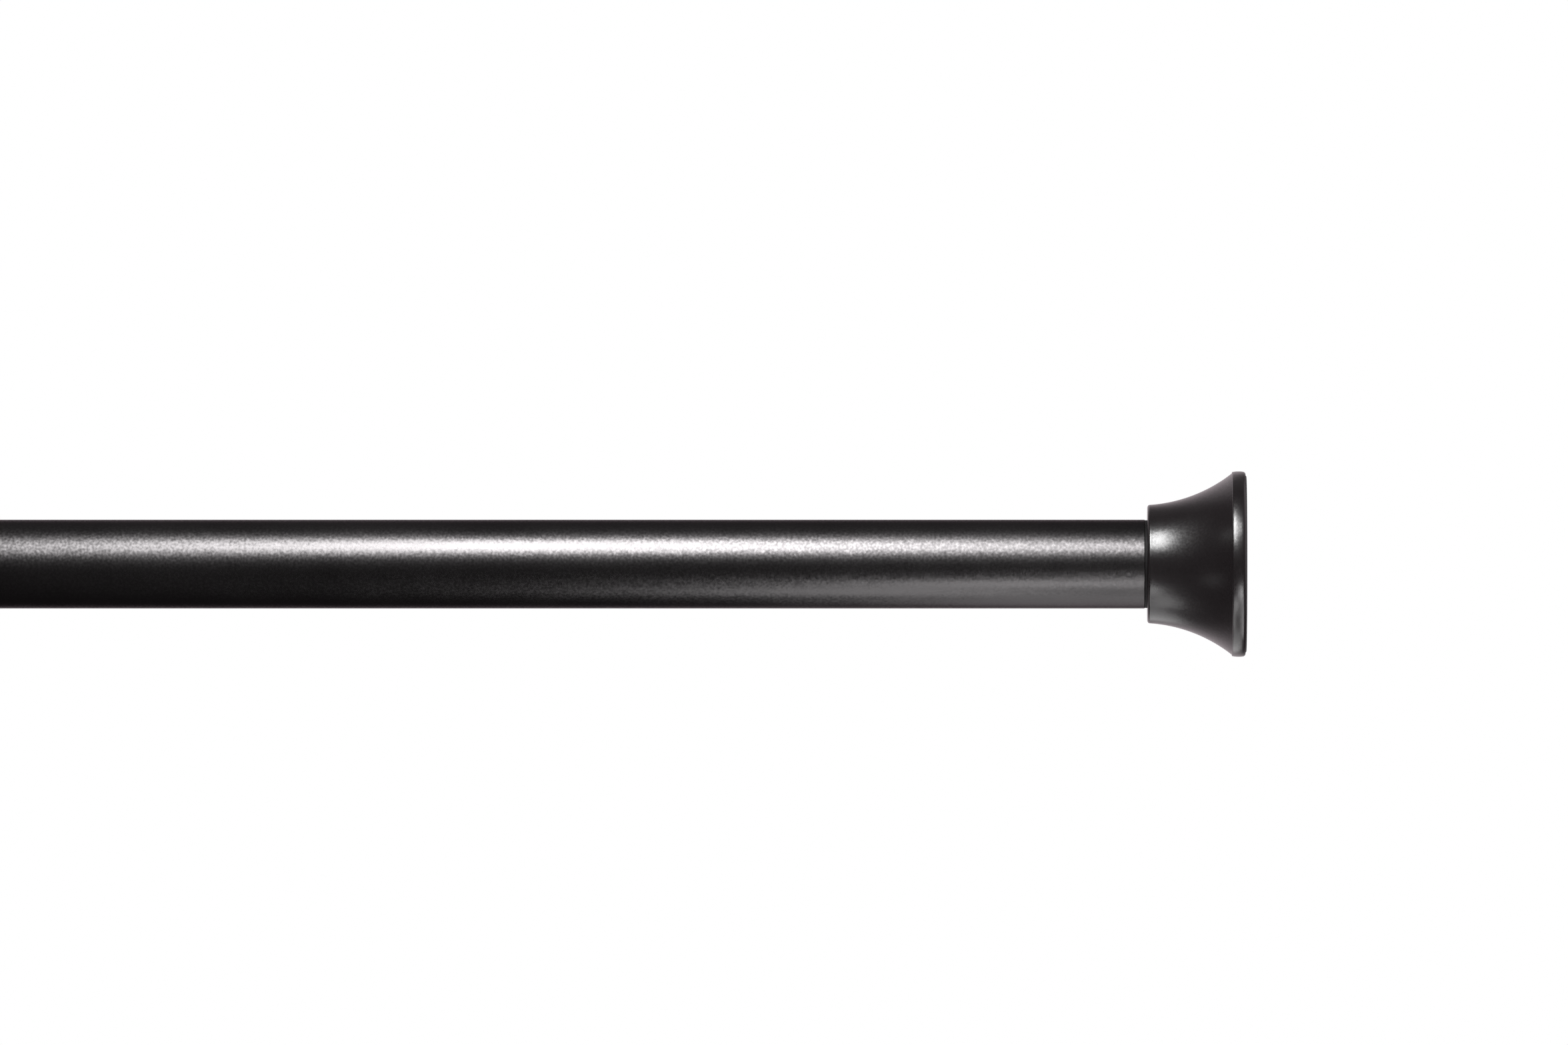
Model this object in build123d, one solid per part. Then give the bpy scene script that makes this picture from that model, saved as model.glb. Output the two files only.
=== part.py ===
from build123d import *
import os
from math import cos, pi, radians, sin, sqrt, tan

# Spring tension curtain rod at its shortest free setting, in millimetres.
# The rod lies along X, and the origin is the middle of the outer tube's wall pad.
# The outer tube runs from there towards -X, and the inner tube slides out of its far mouth.

# Tubes
TUBE_OD = 19.0
TUBE_WALL = 0.8
TUBE_LENGTH = 560.0
INNER_TUBE_WALL = 0.7
INNER_TUBE_SHOWING = 24.0
TUBE_EDGE_BREAK = 0.15

# Fits, each one a gap on the radius or between two faces
PRESS_GAP = 0.05
RUNNING_GAP = 0.2
BUSH_GAP = 0.25
GRIP_GAP = 0.2
AXIAL_GAP = 0.1
HEX_GAP = 0.15
THREAD_GAP = 0.1
WASHER_GAP = 0.2

# Trumpet end cap
CAP_LENGTH = 21.0
COLLAR_LIP = 3.15
COLLAR_DRAFT = 3.0
COLLAR_ROUND = 0.55
FLARE_RISE = 7.2
RIM_WIDTH = 2.95
RIM_STEP = 0.45
RIM_CROWN = 0.15
RIM_BACK_ROUND = 0.25
RIM_FACE_ROUND = 0.6
RIM_LIP = 0.85
CAP_WALL = 2.0
CAVITY_LENGTH = 10.0
BOSS_WALL = 2.6
RIB_COUNT = 6
RIB_THICKNESS = 1.4
CAP_WEB = 3.0
HEAD_ROOM = 1.5
HEAD_WELL_GAP = 0.7

# Wall pad
PAD_THICKNESS = 2.4
PAD_PROUD = 0.2
PAD_SEAT_GAP = 0.1
PAD_MIDDLE_OD = 13.0
PAD_GROOVE_PITCH = 3.8
PAD_GROOVE_WIDTH = 1.2
PAD_GROOVE_DEPTH = 0.5

# Cap plug
SPIGOT_OD = 13.8
SPIGOT_GAP = 0.1
SPIGOT_END_GAP = 0.3
SEAT_RING = 0.55
SEAT_RING_INSET = 0.1
SHANK_LENGTH = 18.0
SHANK_WALL = 2.2
SHANK_CHAMFER = 0.8
PLUG_FLOOR = 3.0
BARB_COUNT = 3
BARB_FIRST = 2.0
BARB_PITCH = 4.0
BARB_WIDTH = 1.2
BARB_DEPTH = 0.25

# Cap screw
SCREW_OD = 2.9
SCREW_LENGTH = 13.0
SCREW_HEAD_OD = 7.0
SCREW_HEAD_HEIGHT = 2.4
SCREW_HEAD_ROUND = 1.0
SCREW_PASS_GAP = 0.3
SCREW_RUNOUT = 1.0
DRIVE_SPAN = 4.2
DRIVE_WIDTH = 1.0
DRIVE_DEPTH = 1.2
DRIVE_TURNS = (0, 90)

# Mouth collar of the outer tube
MOUTH_FLANGE = 1.0
MOUTH_SLEEVE = 12.0
MOUTH_SLEEVE_WALL = 0.45
MOUTH_ROUND = 0.4

# Guide bush of the inner tube, held by a rolled groove
BUSH_FLANGE = 5.0
BUSH_SHANK = 14.0
BUSH_CHAMFER = 0.6
CRIMP_FROM_END = 7.0
CRIMP_WIDTH = 3.0
CRIMP_DEPTH = 0.6

# Tension spring
WIRE_OD = 1.4
WIRE_SIDES = 12
SPRING_OD = 13.0
SPRING_LENGTH = 55.0
ACTIVE_TURNS = 8
COIL_GAP = 0.1

# Spindle, its clips and washers
HEX_SIDES = 6
HEX_FLATS = 5.0
JOURNAL_OD = 4.8
THREAD_OD = 4.8
CLIP_GROOVE_OD = 3.2
CLIP_OD = 7.3
CLIP_THICKNESS = 0.6
CLIP_NOTCH_OD = 1.5
CLIP_NOTCH_RISE = 0.4
CLIP_NOTCH_TURNS = (30, 150)
SPINDLE_TIP = 1.2
SPINDLE_CHAMFER = 0.4
THRUST_WASHER_OD = 13.4
THRUST_WASHER_THICKNESS = 1.0
STOP_WASHER_GAP = 1.0
STOP_WASHER_THICKNESS = 1.2

# Twist lock: split expander and tapered nut
PARK_GAP = 10.0
EXPANDER_LENGTH = 24.0
EXPANDER_WEB = 5.0
EXPANDER_MOUTH_WALL = 1.4
EXPANDER_CHAMFER = 0.6
CLIP_ROOM = 1.0
SLOT_COUNT = 4
SLOT_WIDTH = 1.8
GRIP_COUNT = 5
GRIP_PITCH = 2.8
GRIP_WIDTH = 1.0
GRIP_DEPTH = 0.35
CONE_LENGTH = 14.0
CONE_ANGLE = 8.0
CONE_SEAT_GAP = 0.06
CONE_PARK = 0.5
KEY_GAP = 0.15
KEY_END_GAP = 0.3
KEY_INSET = 0.8
LOCK_TRAVEL = 1.6

# Radii that follow from the tubes and their fits
tube_r = TUBE_OD / 2
bore_r = tube_r - TUBE_WALL
inner_tube_r = bore_r - PRESS_GAP - MOUTH_SLEEVE_WALL - RUNNING_GAP
inner_bore_r = inner_tube_r - INNER_TUBE_WALL
hex_corner_r = HEX_FLATS / 2 / cos(pi / HEX_SIDES)
clip_r = CLIP_OD / 2

# Stations of an end, measured from the wall face
rim_back = PAD_PROUD + RIM_WIDTH
collar_face = PAD_PROUD + CAP_LENGTH
tube_end = collar_face + SEAT_RING
shank_end = tube_end + SHANK_LENGTH
head_seat = PAD_THICKNESS + HEAD_ROOM + SCREW_HEAD_HEIGHT
socket_floor = head_seat + CAP_WEB
spigot_end = socket_floor + SPIGOT_END_GAP
screw_tip = head_seat + SCREW_LENGTH

# Flare of the cap: one arc that leaves the collar at its draft and ends at the step behind the rim
collar_r = tube_r + COLLAR_LIP
rim_r = collar_r + FLARE_RISE
step_r = rim_r - RIM_STEP
pad_r = rim_r - RIM_LIP - PAD_SEAT_GAP
draft = radians(COLLAR_DRAFT)
flare_run = collar_face - rim_back
flare_climb = step_r - collar_r
flare_r = (flare_run**2 + flare_climb**2) / (2 * (flare_climb * cos(draft) - flare_run * sin(draft)))
flare_centre = (collar_face + flare_r * sin(draft), collar_r + flare_r * cos(draft))

# Stations of the lock, measured from the spring side of the expander's web
taper = tan(radians(CONE_ANGLE))
cone_gap = LOCK_TRAVEL * taper + CONE_SEAT_GAP
expander_r = bore_r - GRIP_GAP
expander_mouth_r = expander_r - EXPANDER_MOUTH_WALL
web_clip = EXPANDER_WEB + AXIAL_GAP
cone_start = web_clip + CLIP_THICKNESS + LOCK_TRAVEL + CONE_PARK
cone_end = cone_start + CONE_LENGTH
tip_clip = cone_end + AXIAL_GAP
spindle_end = tip_clip + CLIP_THICKNESS + SPINDLE_TIP
slot_root = cone_start - LOCK_TRAVEL - KEY_END_GAP
spring_end = -THRUST_WASHER_THICKNESS
spring_start = spring_end - SPRING_LENGTH
bush_shoulder = spring_start - BUSH_FLANGE
bush_end = bush_shoulder - BUSH_SHANK
stop_clip = bush_end - STOP_WASHER_THICKNESS - AXIAL_GAP - CLIP_THICKNESS
spindle_start = stop_clip - SPINDLE_TIP

# Places along the rod
tube_mouth = -tube_end - TUBE_LENGTH
inner_tube_start = tube_mouth - MOUTH_FLANGE - INNER_TUBE_SHOWING
far_wall = inner_tube_start - tube_end
lock_origin = -shank_end - PARK_GAP - spindle_end
inner_tube_end = lock_origin + bush_shoulder


def turned(*points):
    """A solid turned about the rod's axis from the corners of its half section."""
    return revolve(make_face(Polyline(*points, close=True)), axis=Axis.X)


def ring(start, end, outer_r, inner_r):
    """A plain ring or disc between two stations."""
    return turned((start, inner_r), (end, inner_r), (end, outer_r), (start, outer_r))


def rounded(section, corner, radius):
    """The half section with its corner nearest to a point rounded."""
    nearest = section.vertices().sort_by_distance((*corner, 0))[0]
    return fillet(nearest, radius)


def hexagon(start, end, flats):
    """A hexagonal bar along the rod's axis."""
    section = RegularPolygon(flats / 2, HEX_SIDES, major_radius=False)
    return extrude(Plane.YZ.offset(start) * section, end - start)


def tube(start, end, outer_r, inner_r):
    """A cut tube with its sharp outer edges broken."""
    return turned(
        (start, inner_r),
        (end, inner_r),
        (end, outer_r - TUBE_EDGE_BREAK),
        (end - TUBE_EDGE_BREAK, outer_r),
        (start + TUBE_EDGE_BREAK, outer_r),
        (start, outer_r - TUBE_EDGE_BREAK),
    )


def flare_at(station, inset=0.0):
    """Radius of the flare at a station, or of a surface inset from it."""
    return flare_centre[1] - sqrt((flare_r + inset) ** 2 - (station - flare_centre[0]) ** 2)


def flare_arc(start, end, inset=0.0):
    """The flare's arc between two stations."""
    middle = (start + end) / 2
    return ThreePointArc(*[(s, flare_at(s, inset)) for s in (start, middle, end)])


def cap_body():
    """The cap's outside, solid, with a pad recess in its wall face."""
    rim_edge_r = rim_r - RIM_CROWN
    step = Line((rim_back, step_r), (rim_back, rim_edge_r))
    crown = ThreePointArc(
        (rim_back, rim_edge_r), (PAD_PROUD + RIM_WIDTH / 2, rim_r), (PAD_PROUD, rim_edge_r)
    )
    inside = Polyline(
        (PAD_PROUD, rim_edge_r),
        (PAD_PROUD, pad_r + PAD_SEAT_GAP),
        (PAD_THICKNESS, pad_r + PAD_SEAT_GAP),
        (PAD_THICKNESS, 0),
        (collar_face, 0),
        (collar_face, collar_r),
    )
    section = make_face([step, crown, inside, flare_arc(collar_face, rim_back)])
    section = rounded(section, (collar_face, collar_r), COLLAR_ROUND)
    section = rounded(section, (rim_back, rim_edge_r), RIM_BACK_ROUND)
    section = rounded(section, (PAD_PROUD, rim_edge_r), RIM_FACE_ROUND)
    return revolve(section, axis=Axis.X)


def cap_cavity():
    """The moulded hollow between the cap's shell and its boss, crossed by radial ribs."""
    boss_r = SPIGOT_OD / 2 + SPIGOT_GAP + BOSS_WALL
    cavity_end = PAD_THICKNESS + CAVITY_LENGTH
    sides = Polyline(
        (PAD_THICKNESS, flare_at(PAD_THICKNESS, CAP_WALL)),
        (PAD_THICKNESS, boss_r),
        (cavity_end, boss_r),
        (cavity_end, flare_at(cavity_end, CAP_WALL)),
    )
    hollow = revolve(make_face([sides, flare_arc(cavity_end, PAD_THICKNESS, CAP_WALL)]), axis=Axis.X)
    rib = Box(CAP_LENGTH, RIB_THICKNESS, rim_r, align=(Align.MIN, Align.CENTER, Align.MIN))
    for i in range(RIB_COUNT):
        hollow -= Rot(X=360 / RIB_COUNT * i) * rib
    return hollow


def end_cap():
    """The trumpet cap: shell, ribs, plug socket, screw hole and head well."""
    socket_r = SPIGOT_OD / 2 + SPIGOT_GAP
    cap = cap_body() - cap_cavity()
    cap -= ring(socket_floor, collar_face, socket_r, 0)
    cap -= ring(PAD_THICKNESS, head_seat, SCREW_HEAD_OD / 2 + HEAD_WELL_GAP, 0)
    cap -= ring(head_seat, socket_floor, SCREW_OD / 2 + SCREW_PASS_GAP, 0)
    return cap


def cap_plug(end_r, shank_r):
    """The plug that joins a tube to its cap: spigot, inset seat ring and barbed, cored shank."""
    pilot_r = SCREW_OD / 2 + PRESS_GAP
    plug = ring(spigot_end, collar_face, SPIGOT_OD / 2, 0)
    plug += ring(collar_face, tube_end, end_r - SEAT_RING_INSET, 0)
    plug += turned(
        (tube_end, 0),
        (tube_end, shank_r),
        (shank_end - SHANK_CHAMFER, shank_r),
        (shank_end, shank_r - SHANK_CHAMFER),
        (shank_end, 0),
    )
    plug -= ring(tube_end + PLUG_FLOOR, shank_end, shank_r - SHANK_WALL, 0)
    plug -= ring(spigot_end, screw_tip + SCREW_RUNOUT, pilot_r, 0)
    for i in range(BARB_COUNT):
        groove = tube_end + BARB_FIRST + BARB_PITCH * i
        plug -= ring(groove, groove + BARB_WIDTH, shank_r, shank_r - BARB_DEPTH)
    return plug


def cap_screw():
    """Pan-head screw with a cross recess, its thread left plain."""
    head = head_seat - SCREW_HEAD_HEIGHT
    section = make_face(
        Polyline(
            (head, 0),
            (head, SCREW_HEAD_OD / 2),
            (head_seat, SCREW_HEAD_OD / 2),
            (head_seat, SCREW_OD / 2),
            (screw_tip - SCREW_OD / 2, SCREW_OD / 2),
            (screw_tip, 0),
            close=True,
        )
    )
    section = rounded(section, (head, SCREW_HEAD_OD / 2), SCREW_HEAD_ROUND)
    screw = revolve(section, axis=Axis.X)
    for turn in DRIVE_TURNS:
        blade = Box(DRIVE_DEPTH, DRIVE_SPAN, DRIVE_WIDTH, align=(Align.MIN, Align.CENTER, Align.CENTER))
        screw -= Pos(X=head) * Rot(X=turn) * blade
    return screw


def wall_pad():
    """Rubber pad with a plain middle and round grip grooves in its wall face."""
    pad = ring(0, PAD_THICKNESS, pad_r, 0)
    groove_r = PAD_MIDDLE_OD / 2
    while groove_r + PAD_GROOVE_WIDTH < pad_r:
        pad -= ring(0, PAD_GROOVE_DEPTH, groove_r + PAD_GROOVE_WIDTH, groove_r)
        groove_r += PAD_GROOVE_PITCH
    return pad


def mouth_collar():
    """Guide ring in the outer tube's mouth: flange over the tube's end, thin sleeve inside it."""
    hole_r = inner_tube_r + RUNNING_GAP
    flange = tube_mouth - MOUTH_FLANGE
    section = make_face(
        Polyline(
            (flange, hole_r),
            (flange, tube_r),
            (tube_mouth, tube_r),
            (tube_mouth, bore_r - PRESS_GAP),
            (tube_mouth + MOUTH_SLEEVE, bore_r - PRESS_GAP),
            (tube_mouth + MOUTH_SLEEVE, hole_r),
            close=True,
        )
    )
    return revolve(rounded(section, (flange, tube_r), MOUTH_ROUND), axis=Axis.X)


def crimp(radius, ease):
    """Ring cut by the rolled groove that holds the bush, in a surface of a given radius."""
    middle = inner_tube_end - CRIMP_FROM_END
    half = CRIMP_WIDTH / 2 + ease
    chord = Line((middle - half, radius), (middle + half, radius))
    arc = ThreePointArc((middle - half, radius), (middle, radius - CRIMP_DEPTH - ease), (middle + half, radius))
    return revolve(make_face([chord, arc]), axis=Axis.X)


def inner_tube():
    """The sliding tube, with the rolled groove near its hidden end."""
    body = tube(inner_tube_start, inner_tube_end, inner_tube_r, inner_bore_r)
    return body + crimp(inner_bore_r, 0) - crimp(inner_tube_r, 0)


def guide_bush():
    """Bush in the inner tube's end: flange that runs in the outer tube, shank, hexagonal hole."""
    shank_r = inner_bore_r - PRESS_GAP
    bush = turned(
        (bush_end, 0),
        (bush_end, shank_r - BUSH_CHAMFER),
        (bush_end + BUSH_CHAMFER, shank_r),
        (bush_shoulder, shank_r),
        (bush_shoulder, bore_r - BUSH_GAP),
        (spring_start - BUSH_CHAMFER, bore_r - BUSH_GAP),
        (spring_start, bore_r - BUSH_GAP - BUSH_CHAMFER),
        (spring_start, 0),
    )
    bush -= hexagon(bush_end, spring_start, HEX_FLATS + 2 * HEX_GAP)
    return Pos(X=lock_origin) * bush - crimp(inner_bore_r, PRESS_GAP)


def spring_coil(start, pitch, turns):
    """Wire wound about the rod's axis from a station, its round section drawn with a few flats."""
    path = Helix(pitch, pitch * turns, (SPRING_OD - WIRE_OD) / 2, center=(start, 0, 0), direction=(1, 0, 0))
    outward = (path @ 0) - Vector(start, 0, 0)
    across = Plane(path @ 0, x_dir=(1, 0, 0), z_dir=Vector(1, 0, 0).cross(outward))
    return sweep(across * RegularPolygon(WIRE_OD / 2, WIRE_SIDES), path=path, is_frenet=True)


def tension_spring():
    """Compression spring with one closed turn, ground flat, at each end."""
    closed = WIRE_OD + COIL_GAP
    pitch = (SPRING_LENGTH - 2 * closed) / ACTIVE_TURNS
    wound = spring_coil(spring_start, closed, 1)
    wound += spring_coil(spring_start + closed, pitch, ACTIVE_TURNS)
    wound += spring_coil(spring_end - closed, closed, 1)
    return wound & ring(spring_start, spring_end, SPRING_OD, 0)


def lock_spindle():
    """Spindle: hexagonal bar, journal in the expander's web, end for the tapered nut."""
    spindle = hexagon(spindle_start, 0, HEX_FLATS) & turned(
        (spindle_start, 0),
        (spindle_start, hex_corner_r - SPINDLE_CHAMFER),
        (spindle_start + SPINDLE_CHAMFER, hex_corner_r),
        (0, hex_corner_r),
        (0, 0),
    )
    spindle += ring(0, cone_start, JOURNAL_OD / 2, 0)
    spindle += turned(
        (cone_start, 0),
        (cone_start, THREAD_OD / 2),
        (spindle_end - SPINDLE_CHAMFER, THREAD_OD / 2),
        (spindle_end, THREAD_OD / 2 - SPINDLE_CHAMFER),
        (spindle_end, 0),
    )
    for groove in (stop_clip, web_clip, tip_clip):
        spindle -= ring(
            groove - PRESS_GAP, groove + CLIP_THICKNESS + PRESS_GAP, hex_corner_r, CLIP_GROOVE_OD / 2
        )
    return spindle


def retaining_clip(station):
    """Sprung clip with an open side and three prongs, in its spindle groove."""
    hole_r = CLIP_GROOVE_OD / 2 + PRESS_GAP
    throat = Pos(Y=-clip_r) * Rectangle(CLIP_GROOVE_OD - 2 * PRESS_GAP, CLIP_OD)
    clip = Circle(clip_r) - Circle(hole_r) - throat
    for turn in CLIP_NOTCH_TURNS:
        clip -= Rot(Z=turn) * Pos(X=hole_r + CLIP_NOTCH_RISE) * Circle(CLIP_NOTCH_OD / 2)
    return extrude(Plane.YZ.offset(station) * clip, CLIP_THICKNESS)


def expander_bore(station):
    """Radius of the expander's tapered bore at a station."""
    return expander_mouth_r - (EXPANDER_LENGTH - station) * taper


def lock_expander():
    """Split sleeve on a web: tapered bore, slots, grip grooves and a bearing hole for the spindle."""
    expander = turned(
        (0, JOURNAL_OD / 2 + THREAD_GAP),
        (0, expander_r - EXPANDER_CHAMFER),
        (EXPANDER_CHAMFER, expander_r),
        (EXPANDER_LENGTH - EXPANDER_CHAMFER, expander_r),
        (EXPANDER_LENGTH, expander_r - EXPANDER_CHAMFER),
        (EXPANDER_LENGTH, expander_mouth_r),
        (EXPANDER_WEB, expander_bore(EXPANDER_WEB)),
        (EXPANDER_WEB, JOURNAL_OD / 2 + THREAD_GAP),
    )
    expander -= ring(EXPANDER_WEB, slot_root, clip_r + CLIP_ROOM, 0)
    slot = Pos(X=slot_root) * Box(
        EXPANDER_LENGTH, SLOT_WIDTH, TUBE_OD, align=(Align.MIN, Align.CENTER, Align.MIN)
    )
    for i in range(SLOT_COUNT):
        expander -= Rot(X=360 / SLOT_COUNT * i) * slot
    for i in range(GRIP_COUNT):
        groove = cone_start + GRIP_PITCH * i
        expander -= ring(groove, groove + GRIP_WIDTH, expander_r, expander_r - GRIP_DEPTH)
    return expander


def lock_cone():
    """Tapered nut with a key in each slot of the expander, at its unlocked end."""
    cone = turned(
        (cone_start, 0),
        (cone_start, expander_bore(cone_start) - cone_gap),
        (cone_end, expander_bore(cone_end) - cone_gap),
        (cone_end, 0),
    )
    key = Pos(X=cone_start) * Box(
        CONE_LENGTH,
        SLOT_WIDTH - 2 * KEY_GAP,
        expander_r - KEY_INSET,
        align=(Align.MIN, Align.CENTER, Align.MIN),
    )
    for i in range(SLOT_COUNT):
        cone += Rot(X=360 / SLOT_COUNT * i) * key
    return cone - ring(cone_start, cone_end, THREAD_OD / 2 + THREAD_GAP, 0)


def outer_end(piece):
    """Turn an end piece from its own wall face to the outer tube's end."""
    return Rot(Z=180) * piece


def inner_end(piece):
    """Move an end piece from its own wall face to the inner tube's end."""
    return Pos(X=far_wall) * piece


def in_lock(piece):
    """Move a piece of the lock to its place along the rod."""
    return Pos(X=lock_origin) * piece


clips = Part() + [retaining_clip(station) for station in (stop_clip, web_clip, tip_clip)]
washer_hole_r = hex_corner_r + WASHER_GAP
thrust_washer = ring(spring_end, 0, THRUST_WASHER_OD / 2, washer_hole_r)
stop_washer = ring(bush_end - STOP_WASHER_THICKNESS, bush_end, inner_bore_r - STOP_WASHER_GAP, washer_hole_r)

nodes = {
    "outer_tube": tube(tube_mouth, -tube_end, tube_r, bore_r),
    "mouth_collar": mouth_collar(),
    "outer_end_cap": outer_end(end_cap()),
    "outer_cap_plug": outer_end(cap_plug(tube_r, bore_r - PRESS_GAP)),
    "outer_cap_screw": outer_end(cap_screw()),
    "outer_wall_pad": outer_end(wall_pad()),
    "inner_tube": inner_tube(),
    "inner_end_cap": inner_end(end_cap()),
    "inner_cap_plug": inner_end(cap_plug(inner_tube_r, inner_bore_r - PRESS_GAP)),
    "inner_cap_screw": inner_end(cap_screw()),
    "inner_wall_pad": inner_end(wall_pad()),
    "guide_bush": guide_bush(),
    "tension_spring": in_lock(tension_spring()),
    "lock_spindle": in_lock(lock_spindle()),
    "retaining_clips": in_lock(clips),
    "stop_washer": in_lock(stop_washer),
    "thrust_washer": in_lock(thrust_washer),
    "lock_expander": in_lock(lock_expander()),
    "lock_cone": in_lock(lock_cone()),
}

os.makedirs("parts", exist_ok=True)
for name, piece in nodes.items():
    export_step(piece, f"parts/{name}.step")
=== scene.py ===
import logging
from abc import ABC, abstractmethod
from dataclasses import dataclass
from enum import Enum
from itertools import chain
from math import cos, pi, radians, sin
from typing import ClassVar

import bpy
import numpy as np
from bpy.types import ID, Material, Node, NodeOutputs, NodeSocket, NodeTree, Object
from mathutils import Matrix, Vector
from numpy.typing import ArrayLike


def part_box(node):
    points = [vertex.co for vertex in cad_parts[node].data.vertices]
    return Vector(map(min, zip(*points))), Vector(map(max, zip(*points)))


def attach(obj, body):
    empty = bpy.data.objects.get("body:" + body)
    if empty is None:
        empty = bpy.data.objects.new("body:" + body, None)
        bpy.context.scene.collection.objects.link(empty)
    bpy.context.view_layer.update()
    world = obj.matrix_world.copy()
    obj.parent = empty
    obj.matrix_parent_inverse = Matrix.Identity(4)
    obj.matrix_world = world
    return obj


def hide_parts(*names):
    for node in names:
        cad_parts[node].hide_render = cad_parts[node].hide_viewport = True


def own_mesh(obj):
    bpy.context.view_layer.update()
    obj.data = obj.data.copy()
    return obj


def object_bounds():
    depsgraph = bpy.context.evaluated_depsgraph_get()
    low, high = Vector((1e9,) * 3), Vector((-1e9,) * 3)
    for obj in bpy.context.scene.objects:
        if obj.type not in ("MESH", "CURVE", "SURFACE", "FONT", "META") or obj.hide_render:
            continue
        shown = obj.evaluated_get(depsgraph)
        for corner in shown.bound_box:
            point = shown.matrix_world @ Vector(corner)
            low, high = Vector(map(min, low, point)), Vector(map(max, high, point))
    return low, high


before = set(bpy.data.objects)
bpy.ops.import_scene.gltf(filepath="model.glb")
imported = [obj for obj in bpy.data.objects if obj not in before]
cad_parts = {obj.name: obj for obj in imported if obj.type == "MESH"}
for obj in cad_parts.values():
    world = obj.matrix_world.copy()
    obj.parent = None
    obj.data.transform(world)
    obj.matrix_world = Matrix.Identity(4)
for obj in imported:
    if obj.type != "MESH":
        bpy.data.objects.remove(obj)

CAD_BOX = [list(corner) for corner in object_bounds()]

log = logging.getLogger("tension_rod")

Colour = Direction = tuple[float, float, float]
Feeds = dict[str | int, object]

# Stations, radii and sections are in millimetres, Blender's own lengths in metres
MM = 0.001

# Rounded sections: points on a corner, how near to a side's ends its flat is held, the shortest such side
# in these lengths, and tolerances for a point and for the axis
ROUND_STEPS = 7
FLAT_HOLD = 0.12
LONG_SIDE = 6.0
SAME_POINT = 1e-6
ON_AXIS = 1e-9

# Surfaces: points round a turned piece and round the spring's wire, and the angle that stays a sharp edge
FINE_SEGMENTS = 192
WIRE_SEGMENTS = 20
SHARP_ANGLE = radians(33.0)

# Thread ridges: steps a turn, half the base in pitches, and how deep the base is let in, in heights
THREAD_STEPS = 36
THREAD_HALF_BASE = 0.42
THREAD_BITE = 0.3


class End(Enum):
    """The two ends of the rod: the body's name, and which way stations run from the wall."""

    OUTER = ("outer", -1.0)
    INNER = ("inner", 1.0)

    @property
    def body(self) -> str:
        """Body that the end's pieces ride on, and first word of its nodes' names."""
        return self.value[0]

    @property
    def way(self) -> float:
        """Sign of X from the wall towards the tube."""
        return self.value[1]


class Grain(Enum):
    """How a surface's fine texture is laid out: even, or drawn out along the rod."""

    EVEN = (1.0, 1.0, 1.0)
    DRAWN = (0.12, 1.0, 1.0)


class Socket(Enum):
    """Kinds of socket that the shared shader groups have."""

    VALUE = "NodeSocketFloat"
    VECTOR = "NodeSocketVector"
    COLOR = "NodeSocketColor"


def added(name: str, data: ID) -> Object:
    """Put an object into the scene.

    Args:
        name: Name of the object.
        data: Its mesh, lamp or camera.

    Returns:
        The object, at the origin.
    """
    thing = bpy.data.objects.new(name, data)
    bpy.context.scene.collection.objects.link(thing)
    return thing


def opaque(colour: Colour) -> tuple[float, float, float, float]:
    """A colour with full alpha, as Blender's sockets take it."""
    return (*colour, 1.0)


# Shader groups shared by the finishes


@dataclass(frozen=True)
class Net:
    """A node tree that nodes are laid into."""

    tree: NodeTree

    def feed(self, node: Node, feeds: Feeds) -> None:
        """Link or set inputs of a node.

        Args:
            node: The node to feed.
            feeds: For each input, by name or number, the socket to link to it or the value to set.
        """
        for key, value in feeds.items():
            if isinstance(value, NodeSocket):
                self.tree.links.new(value, node.inputs[key])
            else:
                node.inputs[key].default_value = value

    def node(self, kind: str, feeds: Feeds, **settings: object) -> Node:
        """Lay a node, set it up and feed its inputs.

        Args:
            kind: Blender's name for this type of node.
            feeds: Sockets or values for its inputs.
            settings: Its properties, which decide what inputs it has.

        Returns:
            The new node.
        """
        node = self.tree.nodes.new(kind)
        for name, value in settings.items():
            setattr(node, name, value)
        self.feed(node, feeds)
        return node

    def vector(self, operation: str, feeds: Feeds) -> NodeOutputs:
        """Lay a vector operation and hand out its outputs."""
        return self.node("ShaderNodeVectorMath", feeds, operation=operation).outputs

    def math(self, operation: str, first: NodeSocket, second: NodeSocket) -> NodeSocket:
        """Lay an operation on two values and hand out its result."""
        return self.node("ShaderNodeMath", {0: first, 1: second}, operation=operation).outputs["Value"]

    def mix(self, factor: NodeSocket, first: object, second: object, kind: str = "FLOAT") -> NodeSocket:
        """Lay a mix of two values or colours.

        Args:
            factor: Socket with the second one's share.
            first: Socket or value at a share of zero.
            second: Socket or value at a share of one.
            kind: Blender's name for the type of what is mixed.

        Returns:
            Socket with the mix.
        """
        feeds = {"Factor": factor, "A": first, "B": second}
        return self.node("ShaderNodeMix", feeds, data_type=kind).outputs["Result"]

    def smoothstep(self, value: NodeSocket, ends: tuple[float, float], floor: float = 0.0) -> NodeSocket:
        """Lay a smooth step from a floor up to one.

        Args:
            value: Socket with the value to step.
            ends: Values where the step starts and ends.
            floor: Level before it.

        Returns:
            Socket with the level.
        """
        feeds = {"Value": value, "From Min": ends[0], "From Max": ends[1], "To Min": floor}
        return self.node("ShaderNodeMapRange", feeds, interpolation_type="SMOOTHSTEP").outputs["Result"]


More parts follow.
